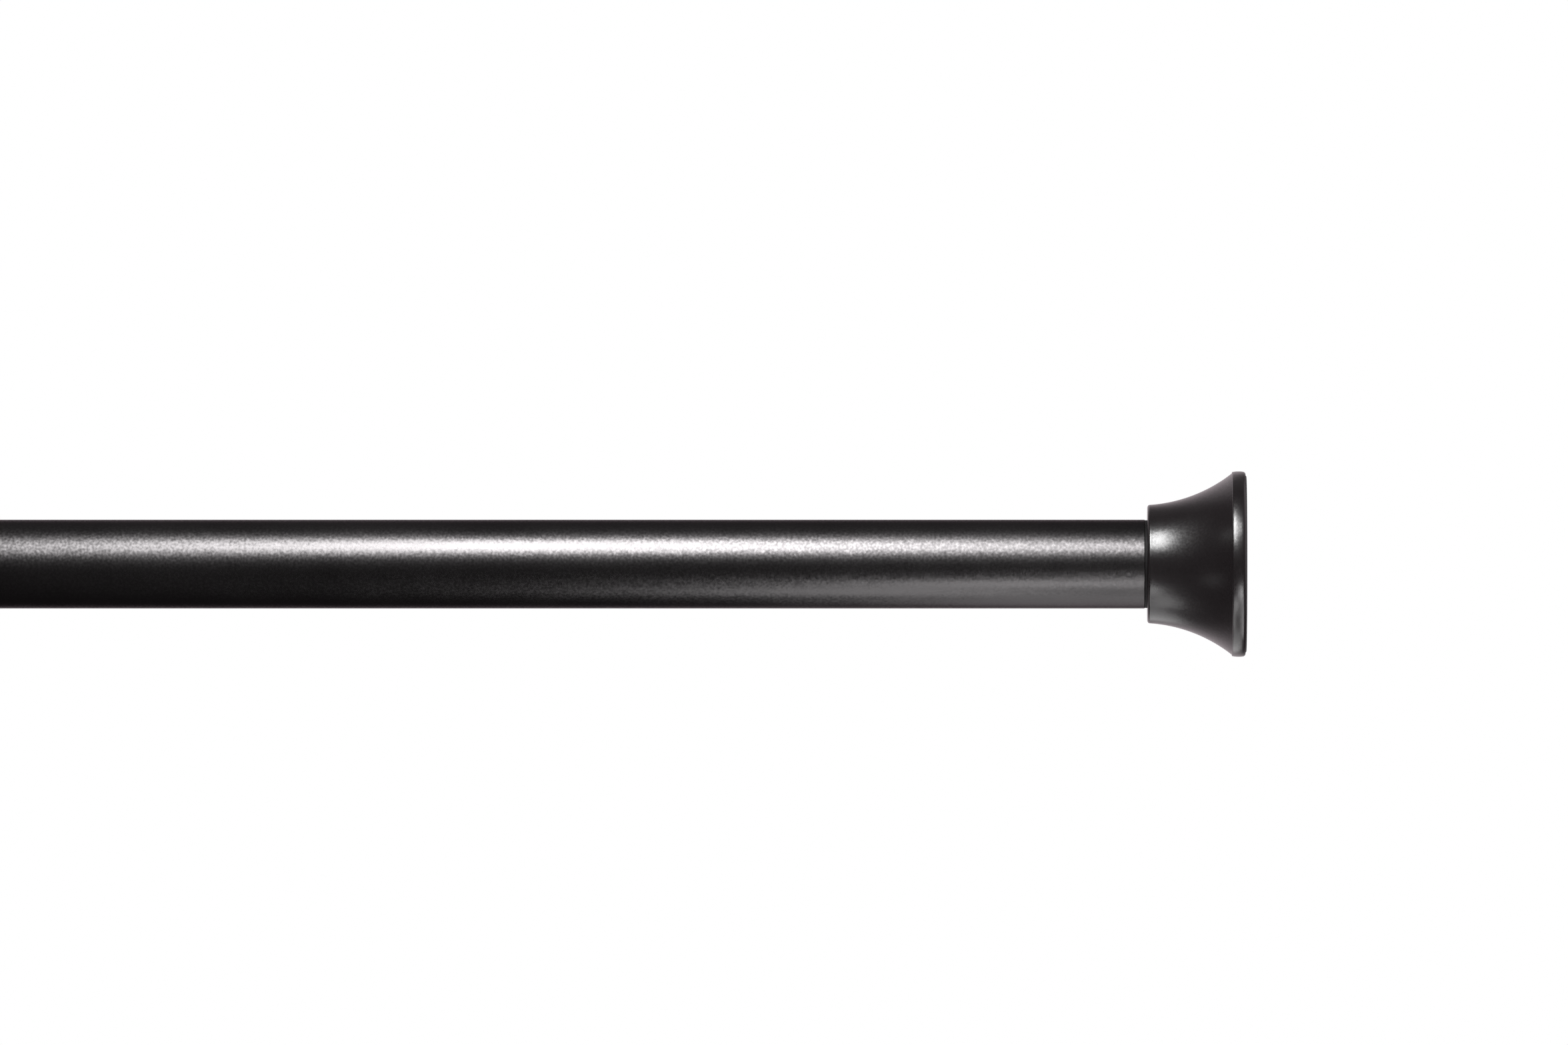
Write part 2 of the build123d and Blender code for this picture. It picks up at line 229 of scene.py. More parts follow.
class SharedGroup(ABC):
    """A shader group that is built once and placed in each material that uses it."""

    NAME: ClassVar[str]
    INPUTS: ClassVar[dict[str, Socket]]
    OUTPUTS: ClassVar[dict[str, Socket]]

    @classmethod
    @abstractmethod
    def wire(cls, net: Net, given: NodeOutputs) -> Feeds:
        """Lay the group's own nodes.

        Args:
            net: The group's tree.
            given: Sockets with the group's inputs.

        Returns:
            The socket for each of the group's outputs.
        """

    @classmethod
    def tree(cls) -> NodeTree:
        """Build the group once and hand out the same one after that.

        Returns:
            Group with the inputs and outputs that its class names.
        """
        if cls.NAME in bpy.data.node_groups:
            return bpy.data.node_groups[cls.NAME]
        tree = bpy.data.node_groups.new(cls.NAME, "ShaderNodeTree")
        for way, sockets in (("INPUT", cls.INPUTS), ("OUTPUT", cls.OUTPUTS)):
            for name, kind in sockets.items():
                tree.interface.new_socket(name, in_out=way, socket_type=kind.value)
        net = Net(tree)
        given = net.node("NodeGroupInput", {}).outputs
        net.node("NodeGroupOutput", cls.wire(net, given))
        return tree

    @classmethod
    def lay(cls, net: Net, feeds: Feeds) -> NodeOutputs:
        """Lay a node of this group into a material's tree and hand out its outputs."""
        return net.node("ShaderNodeGroup", feeds, node_tree=cls.tree()).outputs


class FineGrain(SharedGroup):
    """Shader group: the small texture of paint, moulding or drawn metal, as a height and a mask."""

    NAME = "fine_grain"
    INPUTS = {"Stretch": Socket.VECTOR, "Scale": Socket.VALUE}
    OUTPUTS = {"Height": Socket.VALUE, "Mask": Socket.VALUE}
    DETAIL = 2.0
    CRISP = (0.38, 0.62)

    @classmethod
    def wire(cls, net: Net, given: NodeOutputs) -> Feeds:
        """Lay the grain: noise on stretched object coordinates, and the same through a crisp smoothstep."""
        place = net.node("ShaderNodeTexCoord", {}).outputs["Object"]
        drawn = net.vector("MULTIPLY", {0: place, 1: given["Stretch"]})["Vector"]
        noise = net.node(
            "ShaderNodeTexNoise", {"Vector": drawn, "Scale": given["Scale"], "Detail": cls.DETAIL}
        )
        height = noise.outputs["Fac"]
        return {"Height": height, "Mask": net.smoothstep(height, cls.CRISP)}


class FlakeTilt(SharedGroup):
    """Shader group: the flakes of satin paint, each lying at a slightly different tilt, as a normal."""

    NAME = "flake_tilt"
    INPUTS = {"Scale": Socket.VALUE, "Tilt": Socket.VALUE}
    OUTPUTS = {"Normal": Socket.VECTOR}
    DETAIL = 0.0
    MIDDLE = (0.5, 0.5, 0.5)

    @classmethod
    def wire(cls, net: Net, given: NodeOutputs) -> Feeds:
        """Lay the flakes.

        The normal is normalize(n + Tilt * (c - 1/2)), with n the surface's own normal and c a noise of
        three channels.
        """
        place = net.node("ShaderNodeTexCoord", {}).outputs["Object"]
        own = net.node("ShaderNodeNewGeometry", {}).outputs["Normal"]
        noise = net.node(
            "ShaderNodeTexNoise", {"Vector": place, "Scale": given["Scale"], "Detail": cls.DETAIL}
        )
        centred = net.vector("SUBTRACT", {0: noise.outputs["Color"], 1: cls.MIDDLE})["Vector"]
        tilt = net.vector("SCALE", {0: centred, "Scale": given["Tilt"]})["Vector"]
        tilted = net.vector("ADD", {0: own, 1: tilt})["Vector"]
        return {"Normal": net.vector("NORMALIZE", {0: tilted})["Vector"]}


class SoftMottle(SharedGroup):
    """Shader group: the slow, faint change of tone and gloss that handling leaves on a surface."""

    NAME = "soft_mottle"
    INPUTS = {"Scale": Socket.VALUE, "Dark": Socket.COLOR, "Pale": Socket.COLOR}
    OUTPUTS = {"Color": Socket.COLOR, "Mask": Socket.VALUE}
    DETAIL = 4.0
    ROUGHNESS = 0.62
    SPREAD = (0.25, 0.75)

    @classmethod
    def wire(cls, net: Net, given: NodeOutputs) -> Feeds:
        """Lay the mottle: cloudy noise through a smoothstep, which mixes the dark and the pale tone."""
        place = net.node("ShaderNodeTexCoord", {}).outputs["Object"]
        cloud = net.node(
            "ShaderNodeTexNoise",
            {"Vector": place, "Scale": given["Scale"], "Detail": cls.DETAIL, "Roughness": cls.ROUGHNESS},
        )
        spread = net.smoothstep(cloud.outputs["Fac"], cls.SPREAD)
        tone = net.mix(spread, given["Dark"], given["Pale"], "RGBA")
        return {"Color": tone, "Mask": spread}


@dataclass(frozen=True)
class Finish:
    """One finish of the rod, as a procedural material.

    The colour drifts between dark and pale with the soft mottle, and the roughness with the sum of the
    mottle's and the grain's masks. The grain raises a fine bump, and flakes tilt the normal where there are
    any. Lengths are in metres.
    """

    MASK_COUNT: ClassVar[float] = 2.0

    slot: str
    dark: Colour
    pale: Colour
    roughness: float
    roughness_drift: float
    grain_size: float
    grain_depth: float
    metallic: float = 0.0
    specular: float = 0.5
    edge_tint: Colour = (1.0, 1.0, 1.0)
    mottle_size: float = 0.012
    grain: Grain = Grain.EVEN
    subsurface: float = 0.0
    flake_tilt: float = 0.0

    def material(self) -> Material:
        """Build the material, or hand out the one that is already there.

        Returns:
            Principled material fed by the shared groups.
        """
        name = self.slot + "_finish"
        if name in bpy.data.materials:
            return bpy.data.materials[name]
        material = bpy.data.materials.new(name)
        material.use_nodes = True
        net = Net(material.node_tree)
        tones = {"Scale": 1.0 / self.mottle_size, "Dark": opaque(self.dark), "Pale": opaque(self.pale)}
        mottle = SoftMottle.lay(net, tones)
        grain = FineGrain.lay(net, {"Stretch": self.grain.value, "Scale": 1.0 / self.grain_size})
        gloss = net.node(
            "ShaderNodeMapRange",
            {
                "Value": net.math("ADD", mottle["Mask"], grain["Mask"]),
                "From Max": self.MASK_COUNT,
                "To Min": self.roughness - self.roughness_drift,
                "To Max": self.roughness + self.roughness_drift,
            },
        )
        bump = net.node("ShaderNodeBump", {"Distance": self.grain_depth, "Height": grain["Height"]})
        if self.flake_tilt:
            flakes = FlakeTilt.lay(net, {"Scale": 1.0 / self.grain_size, "Tilt": self.flake_tilt})
            net.feed(bump, {"Normal": flakes["Normal"]})
        net.feed(
            net.tree.nodes["Principled BSDF"],
            {
                "Base Color": mottle["Color"],
                "Roughness": gloss.outputs["Result"],
                "Normal": bump.outputs["Normal"],
                "Metallic": self.metallic,
                "Specular IOR Level": self.specular,
                "Specular Tint": opaque(self.edge_tint),
                "Subsurface Weight": self.subsurface,
                "Subsurface Scale": MM,
            },
        )
        return material

    def dress(self, *nodes: str) -> list[Object]:
        """Give CAD nodes this finish.

        Args:
            nodes: Names of the nodes that keep their own shape.

        Returns:
            The nodes' objects.
        """
        things = [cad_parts[name] for name in nodes]
        for slot in chain.from_iterable(thing.material_slots for thing in things):
            slot.material = self.material()
        return things


TUBE_FINISH = Finish(
    "satin_black_tube", dark=(0.0472, 0.0452, 0.0460), pale=(0.0530, 0.0509, 0.0517),
    roughness=0.34, roughness_drift=0.03, grain_size=0.00055, grain_depth=0.000004,
    metallic=1.0, edge_tint=(0.50, 0.48, 0.49), mottle_size=0.02, flake_tilt=0.105,
)
CAP_FINISH = Finish(
    "satin_black_cap", dark=(0.0108, 0.0079, 0.0089), pale=(0.0130, 0.0098, 0.0108),
    roughness=0.29, roughness_drift=0.02, grain_size=0.0005, grain_depth=0.000003,
    specular=0.36, flake_tilt=0.05,
)
NYLON_FINISH = Finish(
    "black_nylon", dark=(0.010, 0.0088, 0.0093), pale=(0.014, 0.0125, 0.013),
    roughness=0.62, roughness_drift=0.05, grain_size=0.00025, grain_depth=0.000008,
    specular=0.15,
)
RUBBER_FINISH = Finish(
    "black_rubber", dark=(0.010, 0.010, 0.0105), pale=(0.018, 0.0175, 0.018),
    roughness=0.72, roughness_drift=0.08, grain_size=0.00035, grain_depth=0.00003,
    specular=0.35, mottle_size=0.006,
)
WHITE_FINISH = Finish(
    "white_nylon", dark=(0.66, 0.65, 0.60), pale=(0.76, 0.75, 0.71),
    roughness=0.42, roughness_drift=0.06, grain_size=0.0004, grain_depth=0.00001,
    subsurface=0.15,
)
ACETAL_FINISH = Finish(
    "grey_acetal", dark=(0.20, 0.21, 0.22), pale=(0.27, 0.28, 0.29),
    roughness=0.38, roughness_drift=0.05, grain_size=0.0004, grain_depth=0.00001,
    subsurface=0.05,
)
ZINC_FINISH = Finish(
    "zinc_steel", dark=(0.52, 0.53, 0.55), pale=(0.66, 0.67, 0.69),
    roughness=0.34, roughness_drift=0.07, grain_size=0.0006, grain_depth=0.00001,
    metallic=1.0, grain=Grain.DRAWN, mottle_size=0.004,
)
SPRING_FINISH = Finish(
    "spring_steel", dark=(0.30, 0.29, 0.285), pale=(0.42, 0.41, 0.40),
    roughness=0.30, roughness_drift=0.08, grain_size=0.0005, grain_depth=0.000012,
    metallic=1.0, mottle_size=0.003,
)


# Surfaces turned, wound or extruded from their sections


@dataclass
class Surface:
    """Points, in millimetres, and faces of one or more closed shells."""

    points: np.ndarray
    faces: list[np.ndarray]

    def __add__(self, other: "Surface") -> "Surface":
        """Both sets of shells as one."""
        moved = [block + len(self.points) for block in other.faces]
        return Surface(np.vstack([self.points, other.points]), self.faces + moved)

    def piece(self, name: str, body: str, finish: Finish, *nodes: str) -> Object:
        """Make the surface an object of the scene that rides on a body.

        Args:
            name: Name of the piece.
            body: Body that it moves with.
            finish: Finish that dresses it.
            nodes: CAD nodes that it stands for.

        Returns:
            The mesh object, at the origin.
        """
        mesh = bpy.data.meshes.new(name)
        rows = list(chain.from_iterable(block.tolist() for block in self.faces))
        mesh.from_pydata((self.points * MM).tolist(), [], rows)
        mesh.shade_smooth()
        mesh.set_sharp_from_angle(angle=SHARP_ANGLE)
        mesh.materials.append(finish.material())
        thing = added(name, mesh)
        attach(thing, body)
        if nodes:
            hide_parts(*nodes)
        return thing


def round_angles(count: int) -> np.ndarray:
    """Angles of points spread evenly round a circle, from zero."""
    return np.arange(count) * (2 * pi / count)


def sense(section: np.ndarray) -> float:
    """Which way a closed section runs: twice its area by the shoelace formula, negative when clockwise."""
    x, y = section.T
    return float(np.sum(x * np.roll(y, -1) - np.roll(x, -1) * y))


def rounded(corners: np.ndarray) -> np.ndarray:
    """Round the corners of a closed half section and hold its flats.

    A corner P becomes the circular arc between its tangent points S and E, written as the rational curve
    ((1-u)^2 S + 2 w u (1-u) P + u^2 E) / ((1-u)^2 + 2 w u (1-u) + u^2), where w is the sine of half the
    corner's angle and u runs from 0 to 1. Each long side then gets a point near both of its ends, so that
    smooth shading stays at the arcs.

    Args:
        corners: Rows of station, radius and corner radius.

    Returns:
        Rows of station and radius round the section, without repeats.
    """
    corner = corners[:, :2]
    back = np.roll(corner, 1, axis=0) - corner
    ahead = np.roll(corner, -1, axis=0) - corner
    back = back / np.linalg.norm(back, axis=1, keepdims=True)
    ahead = ahead / np.linalg.norm(ahead, axis=1, keepdims=True)
    half = np.arccos(np.clip((back * ahead).sum(axis=1), -1.0, 1.0)) / 2
    reach = (corners[:, 2] / np.tan(half))[:, None]
    start, end = (corner + back * reach)[:, None], (corner + ahead * reach)[:, None]
    u = np.linspace(0.0, 1.0, ROUND_STEPS)[None, :, None]
    weight = 2 * np.sin(half)[:, None, None] * u * (1 - u)
    arc = ((1 - u) ** 2 * start + weight * corner[:, None] + u**2 * end) / ((1 - u) ** 2 + weight + u**2)
    outline = arc.reshape(-1, 2)
    step = np.roll(outline, -1, axis=0) - outline
    outline = outline[np.linalg.norm(step, axis=1) > SAME_POINT]
    step = np.roll(outline, -1, axis=0) - outline
    length = np.linalg.norm(step, axis=1, keepdims=True)
    hold = step / length * FLAT_HOLD
    held = np.stack([outline, outline + hold, outline + step - hold], axis=1)
    kept = np.repeat(length > LONG_SIDE * FLAT_HOLD, held.shape[1], axis=1)
    kept[:, 0] = True
    return held[kept]


def turned(corners: np.ndarray) -> Surface:
    """Turn a half section about the rod's axis.

    Each point (x, r) of the rounded section becomes the ring (x, r cos a, r sin a) for angles a round the
    circle. A section whose first and last corners lie on the axis is closed by a fan at each of them, any
    other one by its own last ring.

    Args:
        corners: Rows of station, radius and corner radius, in either sense.

    Returns:
        Closed surface with its faces outwards.
    """
    outline = rounded(corners)
    poles = bool(corners[0, 1] < ON_AXIS and corners[-1, 1] < ON_AXIS)
    if poles:
        first = int(np.argmin(np.linalg.norm(outline - corners[0, :2], axis=1)))
        outline = np.roll(outline, -first, axis=0)
        last = int(np.argmin(np.linalg.norm(outline - corners[-1, :2], axis=1)))
        outline = outline[: last + 1]
    if sense(outline) < 0:
        outline = outline[::-1]
    x, r = outline.T
    ends = (x[0], x[-1])
    if poles:
        x, r = x[1:-1], r[1:-1]
    angle = round_angles(FINE_SEGMENTS)
    along = np.outer(x, np.ones(FINE_SEGMENTS))
    grid = np.stack([along, np.outer(r, np.cos(angle)), np.outer(r, np.sin(angle))], axis=-1)
    index = np.arange(along.size).reshape(along.shape)
    here, ahead = index, np.roll(index, -1, axis=0)
    if poles:
        here, ahead = here[:-1], ahead[:-1]
    quads = np.stack([here, ahead, np.roll(ahead, -1, axis=1), np.roll(here, -1, axis=1)], axis=-1)
    points, faces = grid.reshape(-1, 3), [quads.reshape(-1, 4)]
    if poles:
        tip = np.full(FINE_SEGMENTS, len(points))
        points = np.vstack([points, [[ends[0], 0.0, 0.0], [ends[1], 0.0, 0.0]]])
        faces.append(np.stack([tip, index[0], np.roll(index[0], -1)], axis=-1))
        faces.append(np.stack([tip + 1, np.roll(index[-1], -1), index[-1]], axis=-1))
    return Surface(points, faces)


def swept(path: np.ndarray, out: np.ndarray, along: np.ndarray, section: np.ndarray) -> Surface:
    """Carry a closed section along a path, with both ends closed.

    Point j of the section, (p, q), becomes path + p * out + q * along at every point of the path.

    Args:
        path: Points of the path.
        out: Unit vectors of the section's first axis, one for each point of the path.
        along: Unit vectors of its second axis.
        section: Rows of the section's two coordinates.

    Returns:
        Closed surface with its faces outwards.
    """
    grid = path[:, None] + section[None, :, :1] * out[:, None] + section[None, :, 1:] * along[:, None]
    rows, columns = grid.shape[:2]
    index = np.arange(rows * columns).reshape(rows, columns)
    beside = np.roll(index, -1, axis=1)
    quads = np.stack([index[:-1], beside[:-1], beside[1:], index[1:]], axis=-1)
    faces = [quads.reshape(-1, 4), index[:1, ::-1], index[-1:]]
    handed = np.dot(np.cross(out[0], along[0]), path[1] - path[0])
    if sense(section) * handed < 0:
        faces = [block[:, ::-1] for block in faces]
    return Surface(grid.reshape(-1, 3), faces)


def wound(start: float, radius: float, rise: np.ndarray, turn: np.ndarray, section: np.ndarray) -> Surface:
    """Carry a section along a helix about the rod's axis.

    The path is (start + rise, radius cos turn, radius sin turn), and the section's axes are the radial
    direction and the rod's own.

    Args:
        start: Station where the helix starts.
        radius: Radius of its path.
        rise: Distance along the rod at each step.
        turn: Angle at each step.
        section: Rows of radial and axial coordinates.

    Returns:
        Closed surface of the winding.
    """
    zero = np.zeros_like(turn)
    out = np.stack([zero, np.cos(turn), np.sin(turn)], axis=-1)
    along = np.stack([zero + 1.0, zero, zero], axis=-1)
    path = np.stack([start + rise, zero, zero], axis=-1) + radius * out
    return swept(path, out, along, section)


def thread(start: float, end: float, root: float, height: float, pitch: float) -> Surface:
    """Raise a screw thread on a plain rod: a ridge of triangular section on a helix of constant pitch.

    Args:
        start: Station where the thread begins.
        end: Station where it ends.
        root: Radius of the rod under it.
        height: Height of the ridge.
        pitch: Distance between neighbouring turns.

    Returns:
        Closed surface of the ridge.
    """
    turns = abs(end - start) / pitch
    turn = np.linspace(0.0, 2 * pi * turns, int(THREAD_STEPS * turns))
    foot, half = -THREAD_BITE * height, THREAD_HALF_BASE * pitch
    ridge = np.array([[foot, -half], [height, 0.0], [foot, half]])
    return wound(start, root, (end - start) * turn / turn[-1], turn, ridge)


def notches(
    first: float, pitch: float, width: float, depth: float, count: int
) -> tuple[np.ndarray, np.ndarray]:
    """Corners of a row of square notches along a side.

    Notch k starts at first + k * pitch, goes down by its depth there, and comes up again after its width.

    Args:
        first: Where the first notch starts.
        pitch: Distance between the starts of neighbours.
        width: Width of each.
        depth: Depth of each.
        count: Number of notches.

    Returns:
        Distance along the side and depth below it, for four corners a notch.
    """
    starts = first + pitch * np.arange(count)
    along = starts[:, None] + np.array([0.0, 0.0, width, width])
    return along.ravel(), np.tile([0.0, depth, depth, 0.0], count)


def reach_of(node: str) -> tuple[float, float, float]:
    """First and last stations along X, and largest radius, of a turned CAD node."""
    low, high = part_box(node)
    return low.x / MM, high.x / MM, max(high.y, high.z) / MM


# Sub-assemblies


@dataclass
class EndFitting:
    """Trumpet cap, plug and wall pad of one end, in stations from its wall face.

    The fields that end in clear say how far sampled points keep from a rounded corner, in its radii, and
    screw_tip is the length of the screw's bare tip in the screw's radii.
    """

    end: End
    tube_r: float
    tube_bore: float
    pad_proud: float = 0.2
    collar_lip: float = 3.15
    collar_draft: float = 3.0
    collar_round: float = 0.55
    collar_clear: float = 1.5
    flare_points: int = 44
    rim_width: float = 2.95
    rim_step: float = 0.45
    rim_crown: float = 0.15
    rim_back_round: float = 0.25
    rim_back_clear: float = 1.6
    rim_face_round: float = 0.6
    rim_face_clear: float = 1.3
    crown_points: int = 9
    cap_wall: float = 2.0
    cavity_length: float = 10.0
    cavity_points: int = 15
    socket_r: float = 7.0
    boss_wall: float = 2.6
    rib_count: int = 6
    rib_thickness: float = 1.4
    rib_bite: float = 0.24
    rib_points: int = 12
    head_seat: float = 6.3
    socket_floor: float = 9.3
    head_well_r: float = 4.2
    screw_r: float = 1.45
    screw_end: float = 19.3
    screw_tip: float = 1.6
    screw_pass: float = 0.3
    pilot_run_out: float = 1.0
    pad_thickness: float = 2.4
    pad_gap: float = 0.1
    pad_round: float = 0.2
    pad_middle_r: float = 6.5
    groove_pitch: float = 3.8
    groove_width: float = 1.2
    groove_depth: float = 0.5
    groove_round: float = 0.15
    groove_count: int = 3
    seat_ring: float = 0.55
    seat_ring_inset: float = 0.1
    press_gap: float = 0.05
    spigot_gap: float = 0.1
    spigot_round: float = 0.24
    shank_wall: float = 2.2
    shank_chamfer: float = 0.8
    plug_floor: float = 3.0
    barb_first: float = 2.0
    barb_pitch: float = 4.0
    barb_width: float = 1.2
    barb_depth: float = 0.25
    barb_round: float = 0.05
    barb_count: int = 3
    edge: float = 0.12
    thread_height: float = 0.28
    thread_pitch: float = 1.1

    def __post_init__(self) -> None:
        """Read the end's place and outer sizes from the frame, and work out the flare.

        The flare leaves the collar at the draft angle d and ends at the rim's step. With the run x and the
        climb y between them, its radius is (x^2 + y^2) / (2 (y cos d - x sin d)).
        """
        names = ("wall_pad", "end_cap", "cap_plug")
        pad, cap, plug = (reach_of(f"{self.end.body}_{name}") for name in names)
        far, near = (0, 1) if self.end is End.OUTER else (1, 0)
        self.wall = pad[near]
        self.collar_face = abs(cap[far] - self.wall)
        self.shank_end = abs(plug[far] - self.wall)
        self.spigot_end = abs(plug[near] - self.wall)
        self.rim_r, self.pad_r = cap[2], pad[2]
        self.rim_back = self.pad_proud + self.rim_width
        self.tube_end = self.collar_face + self.seat_ring
        self.collar_r = max(reach_of("outer_tube")[2], self.tube_r) + self.collar_lip
        self.step_r = self.rim_r - self.rim_step
        draft = radians(self.collar_draft)
        run, climb = self.collar_face - self.rim_back, self.step_r - self.collar_r
        self.flare_r = (run**2 + climb**2) / (2 * (climb * cos(draft) - run * sin(draft)))
        self.flare_x = self.collar_face + self.flare_r * sin(draft)
        self.flare_centre_r = self.collar_r + self.flare_r * cos(draft)

    def station(self, off_wall: ArrayLike) -> np.ndarray:
        """Stations along X of distances from the wall face."""
        return self.wall + self.end.way * np.asarray(off_wall, float)

    def placed(self, *blocks: ArrayLike) -> np.ndarray:
        """Put the rows of a section together and move them to the end's place along X.

        Args:
            blocks: Runs of rows of distance from the wall face, radius and corner radius.

        Returns:
            Rows of station, radius and corner radius.
        """
        rows = np.vstack([np.asarray(block, float) for block in blocks])
        rows[:, 0] = self.station(rows[:, 0])
        return rows

    def flare(self, first: float, last: float, inset: float, count: int) -> np.ndarray:
        """Points on the cap's flare, or on a surface inset from it.

        The flare is one circular arc: r = centre - sqrt((R + inset)^2 - (x - centre_x)^2).

        Args:
            first: Station to start from.
            last: Station to end at.
            inset: Depth below the outside.
            count: Number of points.

        Returns:
            Rows of station, radius and no corner radius.
        """
        x = np.linspace(first, last, count)
        r = self.flare_centre_r - np.sqrt((self.flare_r + inset) ** 2 - (x - self.flare_x) ** 2)
        return np.column_stack([x, r, np.zeros(count)])

    def crowned_rim(self) -> np.ndarray:
        """Points across the rim's slightly crowned outside, from its wall side to its back.

        The crown is the parabola r = rim - crown * t^2, with t from -1 to 1 across the rim.

        Returns:
            Rows of station, radius and corner radius.
        """
        first = self.pad_proud + self.rim_face_clear * self.rim_face_round
        last = self.rim_back - self.rim_back_clear * self.rim_back_round
        between = np.linspace(first, last, self.crown_points)
        x = np.concatenate([[self.pad_proud], between, [self.rim_back]])
        t = (2 * x - self.pad_proud - self.rim_back) / self.rim_width
        bend = np.zeros(len(x))
        bend[0], bend[-1] = self.rim_face_round, self.rim_back_round
        return np.column_stack([x, self.rim_r - self.rim_crown * t**2, bend])

    def cap(self) -> Surface:
        """Work out the cap: one turned section for shell, boss and socket, and the ribs between them.

        Returns:
            Closed surface of the moulding.
        """
        recess = self.pad_r + self.pad_gap
        cavity_end = self.pad_thickness + self.cavity_length
        boss_r = self.socket_r + self.boss_wall
        pass_r = self.screw_r + self.screw_pass
        flare_end = self.collar_face - self.collar_clear * self.collar_round
        section = self.placed(
            [(self.pad_proud, recess, self.edge)],
            self.crowned_rim(),
            [(self.rim_back, self.step_r, 0.0)],
            self.flare(self.rim_back, flare_end, 0.0, self.flare_points)[1:],
            [
                (self.collar_face, self.collar_r, self.collar_round),
                (self.collar_face, self.socket_r, self.edge),
                (self.socket_floor, self.socket_r, self.edge),
                (self.socket_floor, pass_r, self.edge),
                (self.head_seat, pass_r, self.edge),
                (self.head_seat, self.head_well_r, self.edge),
                (self.pad_thickness, self.head_well_r, self.edge),
                (self.pad_thickness, boss_r, self.edge),
                (cavity_end, boss_r, 0.0),
            ],
            self.flare(cavity_end, self.pad_thickness, self.cap_wall, self.cavity_points),
            [(self.pad_thickness, recess, self.edge)],
        )
        return turned(section) + self.ribs(cavity_end, boss_r)

    def ribs(self, cavity_end: float, boss_r: float) -> Surface:
        """Work out the ribs that tie the cap's shell to its boss.

        One rib is the hollow's own half section, let into both walls and carried straight across by the
        rib's thickness. Rib k is turned by k / rib_count of a full turn.

        Args:
            cavity_end: Station of the hollow's floor.
            boss_r: Radius of the boss.

        Returns:
            Closed surfaces of all the ribs.
        """
        floor, foot_r = cavity_end + self.rib_bite, boss_r - self.rib_bite
        shell = self.flare(floor, self.pad_thickness, self.cap_wall - self.rib_bite, self.rib_points)
        profile = np.vstack([[(self.pad_thickness, foot_r), (floor, foot_r)], shell[:, :2]])
        section = np.column_stack([profile[:, 1], self.station(profile[:, 0])])
        along = np.tile([1.0, 0.0, 0.0], (2, 1))
        total = Surface(np.zeros((0, 3)), [])
        for k in range(self.rib_count):
            a = 2 * pi * k / self.rib_count
            out = np.tile([0.0, -sin(a), cos(a)], (2, 1))
            across = np.array([0.0, cos(a), sin(a)]) * self.rib_thickness / 2
            total = total + swept(np.array([-across, across]), out, along, section)
        return total

    def plug(self) -> Surface:
        """Work out the plug: spigot, seat ring and barbed shank, with the screw's pilot hole and the core.

        Returns:
            Closed surface of the moulding.
        """
        spigot_r = self.socket_r - self.spigot_gap
        ring_r = self.tube_r - self.seat_ring_inset
        shank_r = self.tube_bore - self.press_gap
        core_r = shank_r - self.shank_wall
        pilot_r = self.screw_r + self.press_gap
        pilot_end = self.screw_end + self.pilot_run_out
        core_floor = self.tube_end + self.plug_floor
        first = self.tube_end + self.barb_first
        x, depth = notches(first, self.barb_pitch, self.barb_width, self.barb_depth, self.barb_count)
        barbs = np.column_stack([x, shank_r - depth, np.full(len(x), self.barb_round)])
        section = self.placed(
            [
                (pilot_end, 0.0, 0.0),
                (pilot_end, pilot_r, 0.0),
                (self.spigot_end, pilot_r, self.edge),
                (self.spigot_end, spigot_r, self.spigot_round),
                (self.collar_face, spigot_r, 0.0),
                (self.collar_face, ring_r, self.press_gap),
                (self.tube_end, ring_r, self.press_gap),
                (self.tube_end, shank_r, 0.0),
            ],
            barbs,
            [
                (self.shank_end - self.shank_chamfer, shank_r, self.edge),
                (self.shank_end, shank_r - self.shank_chamfer, self.edge),
                (self.shank_end, core_r, self.edge),
                (core_floor, core_r, self.edge),
                (core_floor, 0.0, 0.0),
            ],
        )
        return turned(section)

    def pad(self) -> Surface:
        """Work out the rubber pad: a disc with round grip grooves in its wall face.

        Returns:
            Closed surface of the pad.
        """
        first, count = self.pad_middle_r, self.groove_count
        r, depth = notches(first, self.groove_pitch, self.groove_width, self.groove_depth, count)
        grooves = np.column_stack([depth, r, np.full(len(r), self.groove_round)])
        section = self.placed(
            [(0.0, 0.0, 0.0)],
            grooves,
            [
                (0.0, self.pad_r, self.pad_round),
                (self.pad_thickness, self.pad_r, self.edge),
                (self.pad_thickness, 0.0, 0.0),
            ],
        )
        return turned(section)

    def screw_thread(self) -> Surface:
        """Work out the thread on the screw's shank, from the socket's floor to the bare tip.

        Returns:
            Closed surface of the ridge.
        """
        start = self.station(self.socket_floor + self.thread_pitch)
        end = self.station(self.screw_end - self.screw_tip * self.screw_r)
        return thread(start, end, self.screw_r, self.thread_height, self.thread_pitch)

    def build(self) -> list[Object]:
        """Make and dress the end's pieces.

        Returns:
            Cap, plug, pad, screw and the screw's thread.
        """
        body = self.end.body
        return [
            self.cap().piece(f"{body}_trumpet_cap", body, CAP_FINISH, f"{body}_end_cap"),
            self.plug().piece(f"{body}_barbed_plug", body, NYLON_FINISH, f"{body}_cap_plug"),
            self.pad().piece(f"{body}_rubber_pad", body, RUBBER_FINISH, f"{body}_wall_pad"),
            *ZINC_FINISH.dress(f"{body}_cap_screw"),
            self.screw_thread().piece(f"{body}_screw_thread", body, ZINC_FINISH),
        ]


